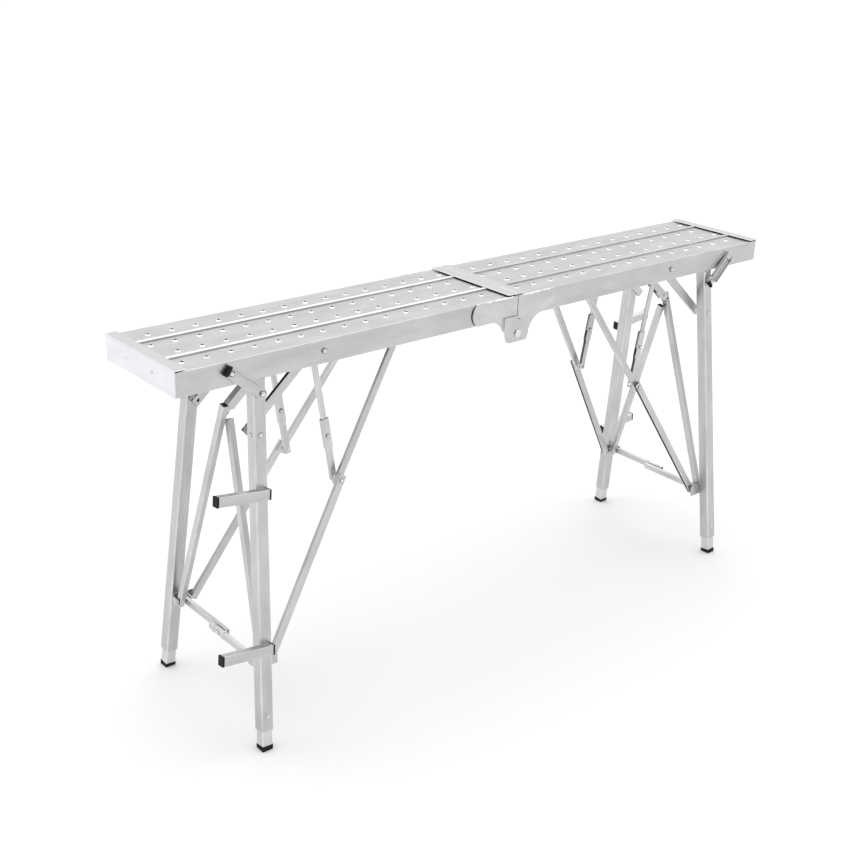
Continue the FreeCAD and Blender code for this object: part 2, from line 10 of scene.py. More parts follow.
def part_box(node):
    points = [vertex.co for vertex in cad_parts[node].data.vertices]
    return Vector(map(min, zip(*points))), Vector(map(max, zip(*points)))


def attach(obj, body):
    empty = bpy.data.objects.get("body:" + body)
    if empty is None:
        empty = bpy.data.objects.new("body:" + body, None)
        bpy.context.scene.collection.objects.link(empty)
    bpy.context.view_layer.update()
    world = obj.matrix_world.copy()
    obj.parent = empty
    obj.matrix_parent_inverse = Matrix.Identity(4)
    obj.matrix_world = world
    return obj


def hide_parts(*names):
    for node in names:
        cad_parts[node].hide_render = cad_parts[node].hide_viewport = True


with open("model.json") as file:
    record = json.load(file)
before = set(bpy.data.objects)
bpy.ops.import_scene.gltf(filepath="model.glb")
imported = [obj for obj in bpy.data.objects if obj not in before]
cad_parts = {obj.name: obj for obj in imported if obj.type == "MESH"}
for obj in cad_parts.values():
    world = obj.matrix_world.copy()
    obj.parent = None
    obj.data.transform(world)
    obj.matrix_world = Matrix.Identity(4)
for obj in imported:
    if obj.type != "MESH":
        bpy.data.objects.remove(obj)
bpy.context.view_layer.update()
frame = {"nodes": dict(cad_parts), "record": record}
scene = bpy.context.scene
nodes = frame["nodes"]
body_of_node = {
    name: body
    for body, members in frame["record"]["behaviour"]["bodies"].items()
    for name in members
}
slot_of_node = {row["node"]: row["material_slot"] for row in frame["record"]["subparts"]}

MM = 0.001


# Materials -------------------------------------------------------------------------------


def new_material(name):
    """A material, its node tree and its surface shader."""
    material = bpy.data.materials.new(name)
    material.use_nodes = True
    tree = material.node_tree
    return material, tree, tree.nodes["Principled BSDF"]


def add(tree, kind, **settings):
    """A new shader node with the given settings."""
    node = tree.nodes.new(kind)
    for key, value in settings.items():
        setattr(node, key, value)
    return node


def grain_noise(tree, scale, detail, roughness):
    """Noise stretched by scale along each piece's own grain."""
    where = add(tree, "ShaderNodeAttribute", attribute_name="grain")
    mapping = add(tree, "ShaderNodeMapping")
    mapping.inputs["Scale"].default_value = scale
    noise = add(tree, "ShaderNodeTexNoise")
    noise.inputs["Scale"].default_value = 1.0
    noise.inputs["Detail"].default_value = detail
    noise.inputs["Roughness"].default_value = roughness
    tree.links.new(where.outputs["Vector"], mapping.inputs["Vector"])
    tree.links.new(mapping.outputs["Vector"], noise.inputs["Vector"])
    return noise.outputs["Fac"]


def stretch(tree, value, ends, results):
    """A value taken from one range to another, and held at its ends."""
    ramp = add(tree, "ShaderNodeMapRange")
    for name, number in zip(("From Min", "From Max", "To Min", "To Max"), (*ends, *results)):
        ramp.inputs[name].default_value = number
    tree.links.new(value, ramp.inputs["Value"])
    return ramp.outputs["Result"]


def spread(tree, noise, low, high):
    """A noise's middle range, spread from low to high."""
    return stretch(tree, noise, (0.3, 0.7), (low, high))


def multiply(tree, first, second):
    """The product of two shader values."""
    product = add(tree, "ShaderNodeMath", operation="MULTIPLY")
    tree.links.new(first, product.inputs[0])
    tree.links.new(second, product.inputs[1])
    return product.outputs["Value"]


def blend_colour(tree, factor, first, second):
    """The first colour where the factor is 0, and the second where it is 1."""
    mix = add(tree, "ShaderNodeMix", data_type="RGBA")
    mix.inputs["A"].default_value = (*first, 1.0)
    mix.inputs["B"].default_value = (*second, 1.0)
    tree.links.new(factor, mix.inputs["Factor"])
    return mix.outputs["Result"]


def tint(tree, factor, base, colour):
    """The base, taken over by a plain colour where the factor is 1."""
    mix = add(tree, "ShaderNodeMix", data_type="RGBA")
    mix.inputs["B"].default_value = (*colour, 1.0)
    tree.links.new(factor, mix.inputs["Factor"])
    tree.links.new(base, mix.inputs["A"])
    return mix.outputs["Result"]


def face_value(tree, name):
    """A number that the mesh stores on each face."""
    return add(tree, "ShaderNodeAttribute", attribute_name=name).outputs["Fac"]


def bump(tree, height, strength, distance, shader):
    """Fine relief that follows a height."""
    node = add(tree, "ShaderNodeBump")
    node.inputs["Strength"].default_value = strength
    node.inputs["Distance"].default_value = distance
    tree.links.new(height, node.inputs["Height"])
    tree.links.new(node.outputs["Normal"], shader.inputs["Normal"])


# Pale tint of rounded edges: partly wear, partly a painted highlight.
WEAR_AND_HIGHLIGHT_TINT = (0.95, 0.95, 0.95)


def brushed_metal(name, light, dark, smooth, rough, grain=0.12, painted_light_upward_colour=None):
    """Satin metal with fine lines along its length, soft mottling, and paler edges that are partly wear and
    partly a painted highlight.

    Its colour lies between light and dark and its roughness between smooth and rough. The colour for upward
    faces, where given, is painted light: it sets the faces that look upward apart from the rest.
    """
    material, tree, shader = new_material(name)
    shader.inputs["Metallic"].default_value = 1.0
    lines = grain_noise(tree, (6.0, 900.0, 900.0), detail=3.0, roughness=0.6)
    mottle = grain_noise(tree, (9.0, 30.0, 30.0), detail=4.0, roughness=0.55)
    colour = blend_colour(tree, spread(tree, mottle, 0.0, 1.0), dark, light)
    # Painted light: faces that look upward take a darker colour than the other faces, which stand brighter.
    if painted_light_upward_colour:
        colour = tint(tree, face_value(tree, "painted_light_upward"), colour, painted_light_upward_colour)
    # Rounded edges turn pale: partly wear, partly a painted highlight.
    wear_and_highlight = multiply(tree, face_value(tree, "wear_and_highlight_mask"), spread(tree, mottle, 0.25, 0.9))
    colour = tint(tree, wear_and_highlight, colour, WEAR_AND_HIGHLIGHT_TINT)
    tree.links.new(colour, shader.inputs["Base Color"])
    tree.links.new(spread(tree, lines, smooth, rough), shader.inputs["Roughness"])
    bump(tree, lines, strength=grain, distance=0.0002, shader=shader)
    return material


def moulded(name, light, dark, smooth, rough, scale):
    """Matt rubber or plastic with a fine moulded texture."""
    material, tree, shader = new_material(name)
    shader.inputs["Specular IOR Level"].default_value = 0.25
    fine = grain_noise(tree, (scale, scale, scale), detail=5.0, roughness=0.6)
    colour = blend_colour(tree, spread(tree, fine, 0.0, 1.0), dark, light)
    tree.links.new(colour, shader.inputs["Base Color"])
    tree.links.new(spread(tree, fine, smooth, rough), shader.inputs["Roughness"])
    bump(tree, fine, strength=0.25, distance=0.0003, shader=shader)
    return material


LOOKS = {
    "deck_metal": brushed_metal("deck_metal", (0.57, 0.57, 0.58), (0.48, 0.48, 0.49), 0.24, 0.4),
    # Painted light: the end plate's metal is painted brighter than the deck as a highlight, and its upward
    # faces keep a darker, deck-like colour.
    "end_metal": brushed_metal(
        "end_metal", (0.83, 0.83, 0.86), (0.74, 0.74, 0.77), 0.28, 0.42, painted_light_upward_colour=(0.56, 0.56, 0.57),
    ),
    "leg_metal": brushed_metal("leg_metal", (0.58, 0.58, 0.58), (0.48, 0.48, 0.48), 0.26, 0.42),
    "linkage_metal": brushed_metal(
        "linkage_metal", (0.63, 0.63, 0.62), (0.51, 0.51, 0.50), 0.28, 0.46,
    ),
    "pin_metal": brushed_metal("pin_metal", (0.80, 0.80, 0.80), (0.62, 0.62, 0.63), 0.16, 0.3, 0.05),
    "black_rubber": moulded(
        "black_rubber", (0.014, 0.014, 0.014), (0.006, 0.006, 0.006), 0.65, 0.9, 900.0,
    ),
    "black_plastic": moulded(
        "black_plastic", (0.012, 0.012, 0.013), (0.006, 0.006, 0.006), 0.55, 0.75, 1500.0,
    ),
}
PALE_METAL = brushed_metal("inner_tube_metal", (0.72, 0.72, 0.71), (0.62, 0.62, 0.61), 0.26, 0.4)
# Lit and shaded copies of one metal: painted highlight on the left half's rib crowns, painted shade on the
# right half's.
CROWN_PAINTED_LIGHT = {
    "left": brushed_metal("left_crown_painted_highlight", (0.98, 0.98, 0.98), (0.92, 0.92, 0.92), 0.2, 0.34),
    "right": brushed_metal("right_crown_painted_shade", (0.64, 0.64, 0.65), (0.54, 0.54, 0.55), 0.24, 0.4),
}
WELD_METAL = brushed_metal("weld_metal", (0.97, 0.97, 0.97), (0.6, 0.6, 0.61), 0.25, 0.5, 0.3)
STUD_METAL = brushed_metal("stud_metal", (0.8, 0.8, 0.8), (0.66, 0.66, 0.66), 0.2, 0.36)


# Meshes ----------------------------------------------------------------------------------


ROUNDED_EDGE = math.radians(35)
SHARP_SHADING = math.radians(50)
FOLDED_CORNER = math.radians(60)
BROAD_FACE = 250.0 * MM * MM
# How much of the pale tint of wear and painted highlight bevelled edges and rounded corners take.
EDGE_WEAR_AND_HIGHLIGHT, CORNER_WEAR_AND_HIGHLIGHT = 1.0, 0.6


def islands(bm):
    """The connected sets of vertices in a mesh."""
    left = set(bm.verts)
    groups = []
    while left:
        front = [left.pop()]
        group = list(front)
        while front:
            vert = front.pop()
            for edge in vert.link_edges:
                other = edge.other_vert(vert)
                if other in left:
                    left.remove(other)
                    group.append(other)
                    front.append(other)
        groups.append(group)
    return groups


def long_axes(points):
    """Unit axes of a set of points, the longest first."""
    count = len(points)
    centre = sum(points, Vector()) / count
    spread_matrix = Matrix(((0,) * 3,) * 3)
    for point in points:
        offset = point - centre
        for row in range(3):
            for column in range(3):
                spread_matrix[row][column] += offset[row] * offset[column]
    axis = Vector((0.9, 0.35, 0.2))
    for _ in range(60):
        axis = (spread_matrix @ axis).normalized()
    side = axis.cross(Vector((0, 0, 1)))
    if side.length < 0.2:
        side = axis.cross(Vector((0, 1, 0)))
    side.normalize()
    return axis, side, axis.cross(side)


def write_grain(bm):
    """Store each vertex's place along its own solid's length, for the metal's brushing."""
    layer = bm.verts.layers.float_vector.new("grain")
    for number, group in enumerate(islands(bm)):
        axis, side, up = long_axes([vert.co for vert in group])
        shift = Vector((number * 0.37, number * 0.11, 0))
        for vert in group:
            vert[layer] = Vector((vert.co @ axis, vert.co @ side, vert.co @ up)) + shift


def finish_mesh(bm, name, material, body, bevel=0.5 * MM):
    """Round a mesh's sharp edges, grain it, and make it a piece that rides on a body."""
    wear_and_highlight_mask = bm.faces.layers.float.get("wear_and_highlight_mask") or bm.faces.layers.float.new("wear_and_highlight_mask")
    painted_light_upward = bm.faces.layers.float.new("painted_light_upward")
    if bevel:
        sharp = [
            edge for edge in bm.edges
            if len(edge.link_faces) == 2 and edge.calc_face_angle(0) > ROUNDED_EDGE
        ]
        rounded = bmesh.ops.bevel(
            bm, geom=sharp, offset=bevel, offset_type="OFFSET", segments=2,
            profile=0.5, affect="EDGES", clamp_overlap=True,
        )["faces"]
        # Bevelled edges are marked for the pale tint of wear and painted highlight.
        for face in rounded:
            face[wear_and_highlight_mask] = EDGE_WEAR_AND_HIGHLIGHT
    write_grain(bm)
    for face in bm.faces:
        face.smooth = face.calc_area() < BROAD_FACE
        # Upward faces are marked for the painted split of light on the end plate.
        face[painted_light_upward] = 1.0 if face.normal.z > 0.5 else 0.0
    for edge in bm.edges:
        if len(edge.link_faces) == 2:
            edge.smooth = edge.calc_face_angle(0) < SHARP_SHADING
    mesh = bpy.data.meshes.new(name)
    bm.to_mesh(mesh)
    bm.free()
    piece = bpy.data.objects.new(name, mesh)
    scene.collection.objects.link(piece)
    mesh.materials.append(material)
    even = piece.modifiers.new("even", "WEIGHTED_NORMAL")
    even.keep_sharp = True
    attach(piece, body)
    return piece


def solid_copy(node):
    """A clean copy of a CAD node's mesh, with its flat faces in one piece."""
    bm = bmesh.new()
    bm.from_mesh(nodes[node].data)
    bmesh.ops.remove_doubles(bm, verts=bm.verts, dist=1e-6)
    bmesh.ops.dissolve_limit(bm, angle_limit=math.radians(1.0), verts=bm.verts, edges=bm.edges)
    return bm


def round_long_edges(bm, radius, shortest):
    """Round the outer corners that run along a tube or a sheet, as drawn and folded metal has."""
    corners = [
        edge for edge in bm.edges
        if len(edge.link_faces) == 2 and edge.calc_length() > shortest
        and edge.calc_face_angle_signed(0) > FOLDED_CORNER
    ]
    wear_and_highlight_mask = bm.faces.layers.float.new("wear_and_highlight_mask")
    rounded = bmesh.ops.bevel(
        bm, geom=corners, offset=radius, offset_type="OFFSET", segments=4,
        profile=0.5, affect="EDGES", clamp_overlap=True,
    )["faces"]
    # Rounded corners are marked for part of the pale tint of wear and painted highlight.
    for face in rounded:
        face[wear_and_highlight_mask] = CORNER_WEAR_AND_HIGHLIGHT


def turn_over(bm, half):
    """Turn the centre strut's channel half round its own length, so that its back shows."""
    top = in_half(half, STRUT_TOP)
    along = in_half(half, STRUT_TIP - STRUT_TOP)
    turn = Matrix.Rotation(math.pi, 4, along)
    about_top = Matrix.Translation(top) @ turn @ Matrix.Translation(-top)
    bmesh.ops.transform(bm, matrix=about_top, verts=bm.verts)


def dress(node, bevel=0.5 * MM, corner=0.0, shortest=0.1, material=None):
    """Show a CAD node as a piece with rounded edges and its own material."""
    slot = slot_of_node[node]
    bm = solid_copy(node)
    if node.endswith("centre_strut"):
        turn_over(bm, node.split("_")[0])
    if corner:
        round_long_edges(bm, corner, shortest)
    look = material or LOOKS[slot]
    piece = finish_mesh(bm, node + "_skin", look, body_of_node[node], bevel)
    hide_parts(node)
    return piece


def dress_all():
    """Dress every CAD node, each kind with its own rounding."""
    for node in sorted(nodes):
        if node.endswith("deck_sheet"):
            dress(node, corner=2.0 * MM, shortest=0.3)
        elif node.endswith("inner_leg"):
            dress(node, corner=2.2 * MM, material=PALE_METAL)
        elif node.endswith("_leg"):
            dress(node, corner=3.0 * MM)
        elif node.endswith("end_channels"):
            dress(node, corner=1.6 * MM)
        elif node.endswith(("_brace", "_diagonal", "_struts", "_strut", "_stays", "_spreader", "rungs")):
            dress(node, bevel=0.4 * MM, corner=1.3 * MM, shortest=0.06)
        elif node.endswith(("pins", "shafts", "button", "foot")):
            dress(node, bevel=0.9 * MM)
        else:
            dress(node)


# Places ----------------------------------------------------------------------------------

joints = {row["name"]: row for row in frame["record"]["behaviour"]["joints"]}

# Places and directions below are in the right half's own frame: X out from the hinge, Z up.
TURN = {"left": -1.0, "right": 1.0}
LEGS = [
    (half, side, f"{half}_{'front' if (half == 'left') == (side > 0) else 'rear'}")
    for half in TURN
    for side in (1, -1)
]
RIB_HEIGHT = 3.0 * MM
DECK_HIGH = Vector(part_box("right_deck_sheet")[1])
TREAD = DECK_HIGH.z - RIB_HEIGHT
RAIL = DECK_HIGH.y
LEG_RUN, LEG_SPREAD, LEG_FALL = 54.5, 93.0, 864.0
LEG_LEAN = Vector((LEG_RUN, LEG_SPREAD, -LEG_FALL)).normalized()
LEG_WIDTH = 32.0 * MM
LINK_DROP = Vector((-73.5, -18.0, -63.0)) * MM
KNEE = Vector((533.5, 117.0, 580.6)) * MM
BRACE_SPREAD = 0.131
STAY_PLANE = 97.3 * MM
STAY_JOINT_X, STAY_JOINT_Z = 553.0 * MM, 693.0 * MM
STRUT_TOP = Vector((598.0, 0.0, 928.0)) * MM
STRUT_TIP = Vector((777.5, 0.0, 768.2)) * MM
STRUT_GAP = 23.0 * MM


def in_half(half, point):
    """A point of the right half's own frame, turned about Z for the left half."""
    return Vector((TURN[half] * point[0], TURN[half] * point[1], point[2]))


def joint_place(name):
    """Where a joint of the frame is at rest."""
    return Vector(joints[name]["pos_m"])


def axes_at(place, along, outward):
    """A matrix at a place with its X along one direction and its Z near another."""
    along = along.normalized()
    outward = (outward - along * outward.dot(along)).normalized()
    across = outward.cross(along)
    return Matrix((
        (along.x, across.x, outward.x, place.x),
        (along.y, across.y, outward.y, place.y),
        (along.z, across.z, outward.z, place.z),
        (0, 0, 0, 1),
    ))


def leg_axes(half, side, name):
    """X down the leg from its top pivot, Z out of its outer face."""
    along = in_half(half, (LEG_LEAN.x, side * LEG_LEAN.y, LEG_LEAN.z))
    outward = in_half(half, (0, side, -LEG_LEAN.y / LEG_LEAN.z))
    return axes_at(joint_place(name + "_leg_pivot"), along, outward)


def link_axes(half, side, name):
    """X down the outer link from its stud, Z square to the leg."""
    pivot = f"{half}_legs_fold" if side > 0 else name + "_link_pivot"
    drop = in_half(half, (LINK_DROP.x, side * LINK_DROP.y, LINK_DROP.z))
    outward = in_half(half, (0, side, -LEG_LEAN.y / LEG_LEAN.z)).normalized()
    along = drop - outward * drop.dot(outward)
    return axes_at(joint_place(pivot), along, outward), along.length


# Details ---------------------------------------------------------------------------------


def lathe(bm, profile, matrix, sides=20):
    """Turn a profile of (radius, height) points about the matrix's Z."""
    rings = []
    for radius, height in profile:
        if radius == 0:
            rings.append([bm.verts.new(matrix @ Vector((0, 0, height)))])
            continue
        rings.append([
            bm.verts.new(matrix @ Vector((
                radius * math.cos(math.tau * step / sides),
                radius * math.sin(math.tau * step / sides),
                height,
            )))
            for step in range(sides)
        ])
    for low, high in zip(rings, rings[1:]):
        for step in range(sides):
            after = (step + 1) % sides
            if len(high) == 1:
                bm.faces.new((low[step], low[after], high[0]))
            else:
                bm.faces.new((low[step], low[after], high[after], high[step]))
    bm.faces.new(tuple(reversed(rings[0])))


def block(bm, matrix, low, high):
    """A box between two corners in the matrix's own axes."""
    made = bmesh.ops.create_cube(bm, size=1.0)["verts"]
    low, high = Vector(low), Vector(high)
    middle, size = (low + high) / 2, high - low
    for vert in made:
        vert.co = matrix @ Vector([middle[k] + vert.co[k] * size[k] for k in range(3)])


def up_at(place, direction):
    """A matrix at a place with its Z along a direction."""
    turn = Vector(direction).to_track_quat("Z", "Y").to_matrix().to_4x4()
    return Matrix.Translation(place) @ turn


def snap_head(bm, place, direction, radius):
    """The low dome of a rivet, or of a bolt's end."""
    rise, rim, dome, sunk = 0.42 * radius, 0.15, 0.85, 0.4 * MM
    profile = [(radius, -sunk), (radius, rim * rise)]
    profile += [
        (radius * math.cos(angle), rise * (rim + dome * math.sin(angle)))
        for angle in (math.radians(20), math.radians(42), math.radians(66))
    ]
    lathe(bm, profile + [(0, rise)], up_at(place, direction))


def rivets(name, body, spots):
    """Rivet heads, each with a black ring round its rim, painted as the shade in the joint."""
    heads, rings = bmesh.new(), bmesh.new()
    for place, direction, radius in spots:
        snap_head(heads, place, direction, radius)
        # A black ring round each head, painted as the shade of the joint.
        rim, lift = radius + 0.9 * MM, 0.15 * MM
        ring = ((rim, -0.3 * MM), (rim, lift), (radius - 0.5 * MM, lift + 0.1 * MM), (0, lift))
        lathe(rings, ring, up_at(place, direction))
    finish_mesh(heads, name + "_heads", LOOKS["pin_metal"], body, 0)
    finish_mesh(rings, name + "_head_shadow_rings", LOOKS["black_plastic"], body, 0)


def add_dimples(half):
    """Rows of pressed studs, every second row set over by half a pitch, each with a black disc on its top
    painted as the shade inside a drain hole.
    """
    studs, hole_shades = bmesh.new(), bmesh.new()
    pitch, count = 61.2 * MM, 15
    stud = ((7.9, -0.5), (7.3, 0.2), (6.6, 1.0), (5.9, 1.7), (5.2, 2.1), (4.7, 2.2), (4.5, 2.0), (4.4, 0.2))
    # A black disc on each stud's top, painted as the shade inside a drain hole.
    hole = ((4.6, 1.9), (4.4, 1.95), (2.0, 1.9), (0, 1.85))
    rows = ((-100.0, 45.0), (-31.0, 76.0), (31.0, 45.0), (100.0, 76.0))
    for across, start in rows:
        for number in range(count):
            spot = in_half(half, (start * MM + number * pitch, across * MM, TREAD))
            lathe(studs, [(r * MM, h * MM) for r, h in stud], Matrix.Translation(spot), 24)
            lathe(hole_shades, [(r * MM, h * MM) for r, h in hole], Matrix.Translation(spot), 16)
    finish_mesh(studs, f"{half}_dimples", STUD_METAL, f"{half}_deck", 0)
    finish_mesh(hole_shades, f"{half}_dimple_hole_shades", LOOKS["black_plastic"], f"{half}_deck", 0)


def add_rib_tops(half):
    """Strips on the crowns of the two long ribs: a bright painted highlight on the left half, and darker
    painted shade on the right half.
    """
    bm = bmesh.new()
    width, thickness, sunk, across = 10.0 * MM, 0.25 * MM, 0.3 * MM, 63.0 * MM
    start, end, steps = 31.5 * MM, 949.5 * MM, 24
    for sign in (1, -1):
        for number in range(steps):
            near = start + (end - start) * number / steps
            far = start + (end - start) * (number + 1) / steps
            low = in_half(half, (near, sign * across - width / 2, DECK_HIGH.z - sunk))
            high = in_half(half, (far, sign * across + width / 2, DECK_HIGH.z + thickness))
            corners = [[pick(low[k], high[k]) for k in range(3)] for pick in (min, max)]
            block(bm, Matrix(), *corners)
    bmesh.ops.remove_doubles(bm, verts=bm.verts, dist=1e-5)
    finish_mesh(bm, f"{half}_rib_crown_painted_light", CROWN_PAINTED_LIGHT[half], f"{half}_deck", 0)


def add_welds(half):
    """Rough beads where the hinge gussets are welded along the top of the rails."""
    bm = bmesh.new()
    rng = random.Random(7 if half == "left" else 11)
    runs = ((16.0, 66.0), (90.0, 22.0))
    spacing, jitter = 2.6, 0.5
    outboard, below, bead = (2.6, 4.2), (0.4, 2.2), (2.1, 3.1)
    for side in (1, -1):
        for start, length in runs:
            for number in range(int(length / spacing)):
                place = in_half(half, (
                    (start + number * spacing + rng.uniform(-jitter, jitter)) * MM,
                    side * (RAIL + rng.uniform(*outboard) * MM),
                    TREAD - rng.uniform(*below) * MM,
                ))
                size = rng.uniform(*bead) * MM
                shape = Matrix.Translation(place) @ Matrix.Diagonal((size * 1.1, size, size * 0.8, 1.0))
                bmesh.ops.create_icosphere(bm, subdivisions=2, radius=1.0, matrix=shape)
    finish_mesh(bm, f"{half}_gusset_welds", WELD_METAL, f"{half}_deck", 0)


def add_gusset_gap(half):
    """A black strip round the free end of the longer gusset, painted as the shade in the gap between the
    gusset and the rail.
    """
    bm = bmesh.new()
    rise, bulge, start, middle = 26.0 * MM, 17.0 * MM, 135.5 * MM, 927.0 * MM
    widest, narrowest, taper = 1.5 * MM, 0.3 * MM, 0.9
    outline = ((-0.2, -0.3), (1.0, -0.3), (1.0, 0.25), (-0.2, 0.25))
    sweep, steps = 80, 26
    sections = []
    for step in range(steps + 1):
        angle = math.radians(-sweep + 2 * sweep * step / steps)
        x = start + bulge * math.cos(angle)
        z = middle + rise * math.sin(angle)
        width = widest * math.cos(angle * taper) + narrowest
        sections.append([
            bm.verts.new(in_half(half, (x + dx * width, RAIL + dy * MM, z)))
            for dx, dy in outline
        ])
    for low, high in zip(sections, sections[1:]):
        for k in range(4):
            after = (k + 1) % 4
            bm.faces.new((low[k], low[after], high[after], high[k]))
    bm.faces.new(tuple(reversed(sections[0])))
    bm.faces.new(tuple(sections[-1]))
    bmesh.ops.recalc_face_normals(bm, faces=bm.faces)
    finish_mesh(bm, f"{half}_gusset_gap_shade", LOOKS["black_plastic"], f"{half}_deck", 0)


def add_deck_heads(half):
    """Heads on the end plate, the strut shaft's ends and the link studs."""
    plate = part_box("right_end_channels")[1].x - 0.3 * MM
    plate_height, plate_spread, plate_head = 929.0 * MM, 56.0, 4.6 * MM
    shaft_reach, shaft_head = 2.4 * MM, 5.8 * MM
    stud_top, stud_head = 5.8 * MM, 6.0 * MM
    spots = [
        (in_half(half, (plate, across * MM, plate_height)), in_half(half, (1, 0, 0)), plate_head)
        for across in (-plate_spread, plate_spread)
    ]
    for side in (1, -1):
        shaft = in_half(half, (STRUT_TOP.x, side * (RAIL + shaft_reach), STRUT_TOP.z))
        spots.append((shaft, in_half(half, (0, side, 0)), shaft_head))
    for leg_half, side, name in LEGS:
        if leg_half == half:
            matrix = link_axes(half, side, name)[0]
            spots.append((matrix @ Vector((0, 0, stud_top)), matrix.to_3x3().col[2], stud_head))
    rivets(f"{half}_deck", f"{half}_deck", spots)


def add_leg_heads(half, side, name):
    """The leg's link pin and the bolt at the strut, whose end shows on the outboard face too."""
    matrix = leg_axes(half, side, name)
    outward = matrix.to_3x3().col[2]
    outboard = matrix.to_3x3() @ Vector((0, -side, 0))
    face = LEG_WIDTH / 2
    pin_top, strut = 30.4 * MM, 96.0 * MM
    pin_head, bolt_head, bolt_end = 6.0 * MM, 5.6 * MM, 4.2 * MM
    rivets(f"{name}_leg", name + "_leg_tube", [
        (matrix @ Vector((0, 0, pin_top)), outward, pin_head),
        (matrix @ Vector((strut, 0, face)), outward, bolt_head),
        (matrix @ Vector((strut, 0, 0)) + outboard * face, outboard, bolt_end),
    ])


def add_link_cap(half, side, name):
    """The black plug at one end of the outer link: the top end on the left, the low end on the right."""
    bm = bmesh.new()
    matrix, length = link_axes(half, side, name)
    base, thickness = 0.1 * MM, 6.0 * MM
    if half == "left":
        half_width, depth, start = 12.3 * MM, 12.0 * MM, -15.2 * MM
    else:
        half_width, depth, start = 8.5 * MM, 9.0 * MM, length + 8.5 * MM
    block(bm, matrix, (start, -half_width, base), (start + thickness, half_width, depth))
    finish_mesh(bm, f"{name}_link_plug", LOOKS["black_plastic"], name + "_link_arm",
                0.7 * MM)


def add_knee_heads(half, side, name):
    """The rivet head on the lower link of a knee brace."""
    outward = in_half(half, (0, side, BRACE_SPREAD)).normalized()
    knee = in_half(half, (KNEE.x, side * KNEE.y, KNEE.z))
    lift, head = 16.6, 5.2 * MM
    rivets(f"{name}_knee", name + "_lower_link", [(knee + outward * lift * MM, outward, head)])


def add_stay_details(half):
    """Rivet heads at the stays' joints, and the shadowed mouths of their sleeves."""
    joint = joint_place(half + "_stay_joint")
    lift, head = 6.9 * MM, 4.6 * MM
    spots = [
        (joint + in_half(half, (0, side * (STAY_PLANE + way * lift), 0)),
         in_half(half, (0, side * way, 0)), head)
        for side in (1, -1)
        for way in (1, -1)
    ]
    rivets(f"{half}_stay", half + "_stay_uppers", spots)
    bm = bmesh.new()
    down = in_half(half, (KNEE.x - STAY_JOINT_X, 0, KNEE.z - STAY_JOINT_Z))
    start, end, half_width, half_depth = -45.2 * MM, -43.5 * MM, 9.2 * MM, 4.2 * MM
    for side in (1, -1):
        outward = in_half(half, (0, side, 0))
        matrix = axes_at(joint + outward * STAY_PLANE, down, outward)
        block(bm, matrix, (start, -half_width, -half_depth), (end, half_width, half_depth))
    finish_mesh(bm, f"{half}_sleeve_mouths", LOOKS["black_plastic"], half + "_stay_lowers",
                0)


def add_strut_end(half):
    """The narrower tongue of the centre strut that reaches the apex, and its black plug."""
    along = in_half(half, STRUT_TIP - STRUT_TOP)
    matrix = axes_at(in_half(half, STRUT_TOP), along, in_half(half, (0, 1, 0)))
    end = along.length - STRUT_GAP
    root, reach, half_width, half_depth = 30.0 * MM, 13.0 * MM, 8.0 * MM, 7.6 * MM
    head_back, head_out, head = 8.0 * MM, 10.0 * MM, 4.6 * MM
    plug_overlap, plug_reach = 0.5 * MM, 5.0 * MM
    bm = bmesh.new()
    block(bm, matrix, (end - root, -half_width, -half_depth), (end + reach, half_width, half_depth))
    snap_head(bm, matrix @ Vector((end - head_back, 0, -head_out)), in_half(half, (0, -1, 0)), head)
    finish_mesh(bm, f"{half}_apex_tongue", LOOKS["linkage_metal"], half + "_centre_strut_arm",
                0.8 * MM)
    bm = bmesh.new()
    block(bm, matrix, (end + reach - plug_overlap, -half_width, -half_depth),
          (end + reach + plug_reach, half_width, half_depth))
    finish_mesh(bm, f"{half}_apex_plug", LOOKS["black_plastic"], half + "_centre_strut_arm",
                0.8 * MM)


def add_spreader_parts(half, side, name):
    """The two bands, the rivet and the end plug near the middle of the folding spreader."""
    outward = in_half(half, (1, 0, LEG_RUN / LEG_FALL))
    pivot = joint_place(name + "_spreader_pivot")
    matrix = axes_at(pivot, in_half(half, (0, -side, 0)), outward)
    box_low, box_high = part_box(name + "_spreader")
    middle = (Vector(box_low) + Vector(box_high)) / 2
    depth = (matrix.inverted() @ middle).z
    reach = abs(pivot.y)
    half_width, half_depth = 8.5 * MM, 5.0 * MM
    plug_start, plug_end, inset = 24.0 * MM, 29.0 * MM, 0.4 * MM
    bm = bmesh.new()
    block(bm, matrix, (reach + plug_start, -half_width + inset, depth - half_depth + inset),
          (reach + plug_end, half_width - inset, depth + half_depth - inset))
    finish_mesh(bm, f"{name}_spreader_plug", LOOKS["black_plastic"], name + "_spreader_link",
                0.6 * MM)
    band_length, side_lip, face_lip = 7.0 * MM, 1.2 * MM, 0.8 * MM
    bm = bmesh.new()
    for station in (reach - 36.0 * MM, reach + 6.0 * MM):
        block(bm, matrix, (station, -half_width - side_lip, depth - half_depth - face_lip),
              (station + band_length, half_width + side_lip, depth + half_depth + face_lip))
    rivet_back, head = 12.0 * MM, 5.0 * MM
    face = matrix @ Vector((reach - rivet_back, 0, depth + half_depth))
    rivets(f"{name}_spreader", name + "_spreader_link", [(face, outward.normalized(), head)])
    finish_mesh(bm, f"{name}_spreader_bands", LOOKS["linkage_metal"], name + "_spreader_link",
                0.4 * MM)


dress_all()
for half in TURN:
    add_dimples(half)
    add_rib_tops(half)
    add_welds(half)
    add_gusset_gap(half)
    add_deck_heads(half)
    add_stay_details(half)
    add_strut_end(half)
for half, side, name in LEGS:
    add_leg_heads(half, side, name)
    add_link_cap(half, side, name)
    add_knee_heads(half, side, name)
    if side > 0:
        add_spreader_parts(half, side, name)


# Stage -----------------------------------------------------------------------------------


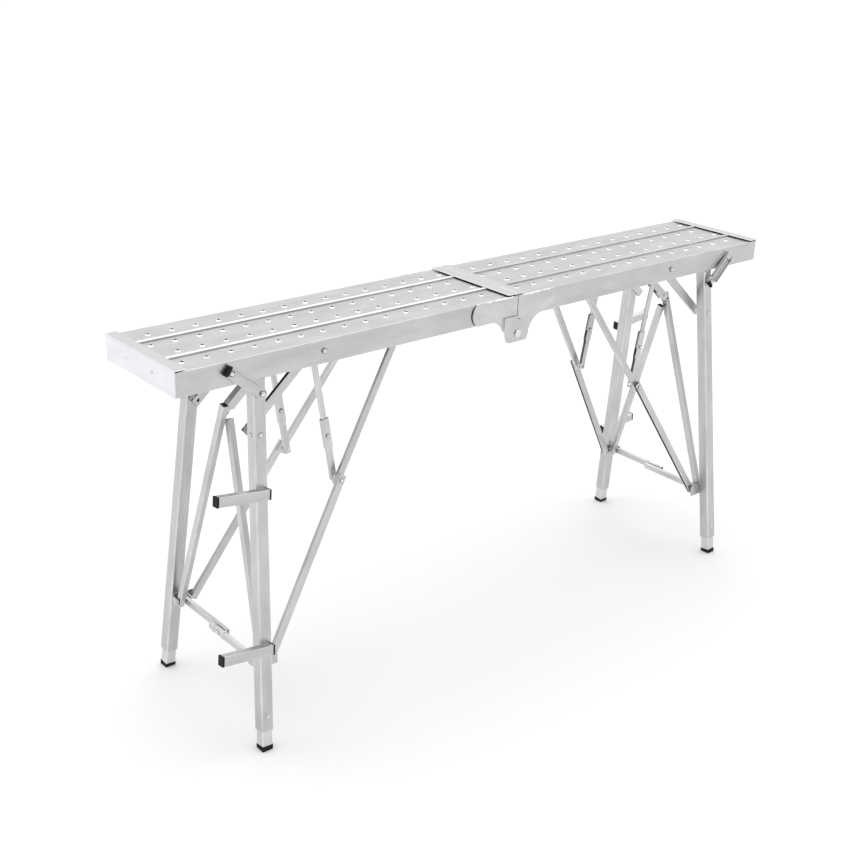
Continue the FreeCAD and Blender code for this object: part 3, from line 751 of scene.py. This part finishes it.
def add_floor():
    """A wide, matt, nearly white floor."""
    mesh = bpy.data.meshes.new("floor")
    reach = 30.0
    corners = [(-reach, -reach, 0), (reach, -reach, 0), (reach, reach, 0), (-reach, reach, 0)]
    mesh.from_pydata(corners, [], [(0, 1, 2, 3)])
    floor = bpy.data.objects.new("floor", mesh)
    scene.collection.objects.link(floor)
    material, _, shader = new_material("floor_white")
    shader.inputs["Base Color"].default_value = (0.79, 0.79, 0.79, 1.0)
    shader.inputs["Roughness"].default_value = 1.0
    shader.inputs["Specular IOR Level"].default_value = 0.0
    mesh.materials.append(material)


def add_light(name, place, target, size, power):
    """A round lamp at a place, turned to a target."""
    data = bpy.data.lights.new(name, "AREA")
    data.shape = "DISK"
    data.size = size
    data.energy = power
    lamp = bpy.data.objects.new(name, data)
    lamp.location = place
    lamp.rotation_euler = (Vector(target) - Vector(place)).to_track_quat("-Z", "Y").to_euler()
    scene.collection.objects.link(lamp)


def add_world():
    """A white studio, brighter overhead and behind the object than in front of it."""
    world = bpy.data.worlds.new("studio")
    scene.world = world
    world.use_nodes = True
    tree = world.node_tree
    background = tree.nodes["Background"]
    background.inputs["Color"].default_value = (1.0, 1.0, 1.0, 1.0)
    where = add(tree, "ShaderNodeTexCoord")
    parts = add(tree, "ShaderNodeSeparateXYZ")
    tree.links.new(where.outputs["Generated"], parts.inputs["Vector"])
    height = stretch(tree, parts.outputs["Z"], (0.35, 1.0), (0.80, 2.3))
    behind = add(tree, "ShaderNodeVectorMath", operation="DOT_PRODUCT")
    behind.inputs[1].default_value = (0.65, 0.76, 0.0)
    tree.links.new(where.outputs["Generated"], behind.inputs[0])
    sides = stretch(tree, behind.outputs["Value"], (-1.0, 1.0), (0.55, 1.25))
    tree.links.new(multiply(tree, height, sides), background.inputs["Strength"])


def add_camera():
    """The photograph's view: from the front left, a little above the deck."""
    place = Vector((-2.2316, -2.3977, 1.9068))
    heading, drop, roll = 0.7119, 0.3939, 0.0336
    focal, picture = 1306.29, 850.0
    forward = Vector((
        math.cos(drop) * math.sin(heading), math.cos(drop) * math.cos(heading), -math.sin(drop),
    ))
    level = forward.cross(Vector((0, 0, 1))).normalized()
    upward = level.cross(forward)
    right = math.cos(roll) * level + math.sin(roll) * upward
    up = -math.sin(roll) * level + math.cos(roll) * upward
    data = bpy.data.cameras.new("camera")
    data.lens = data.sensor_width * focal / picture
    camera = bpy.data.objects.new("camera", data)
    camera.matrix_world = Matrix((
        (right.x, up.x, -forward.x, place.x),
        (right.y, up.y, -forward.y, place.y),
        (right.z, up.z, -forward.z, place.z),
        (0, 0, 0, 1),
    ))
    scene.collection.objects.link(camera)
    scene.camera = camera


add_floor()
add_world()
add_light("key", place=(-2.5, 1.5, 4.0), target=(0, 0, 0.5), size=2.5, power=12.0)
add_camera()
scene.view_settings.view_transform = "Standard"
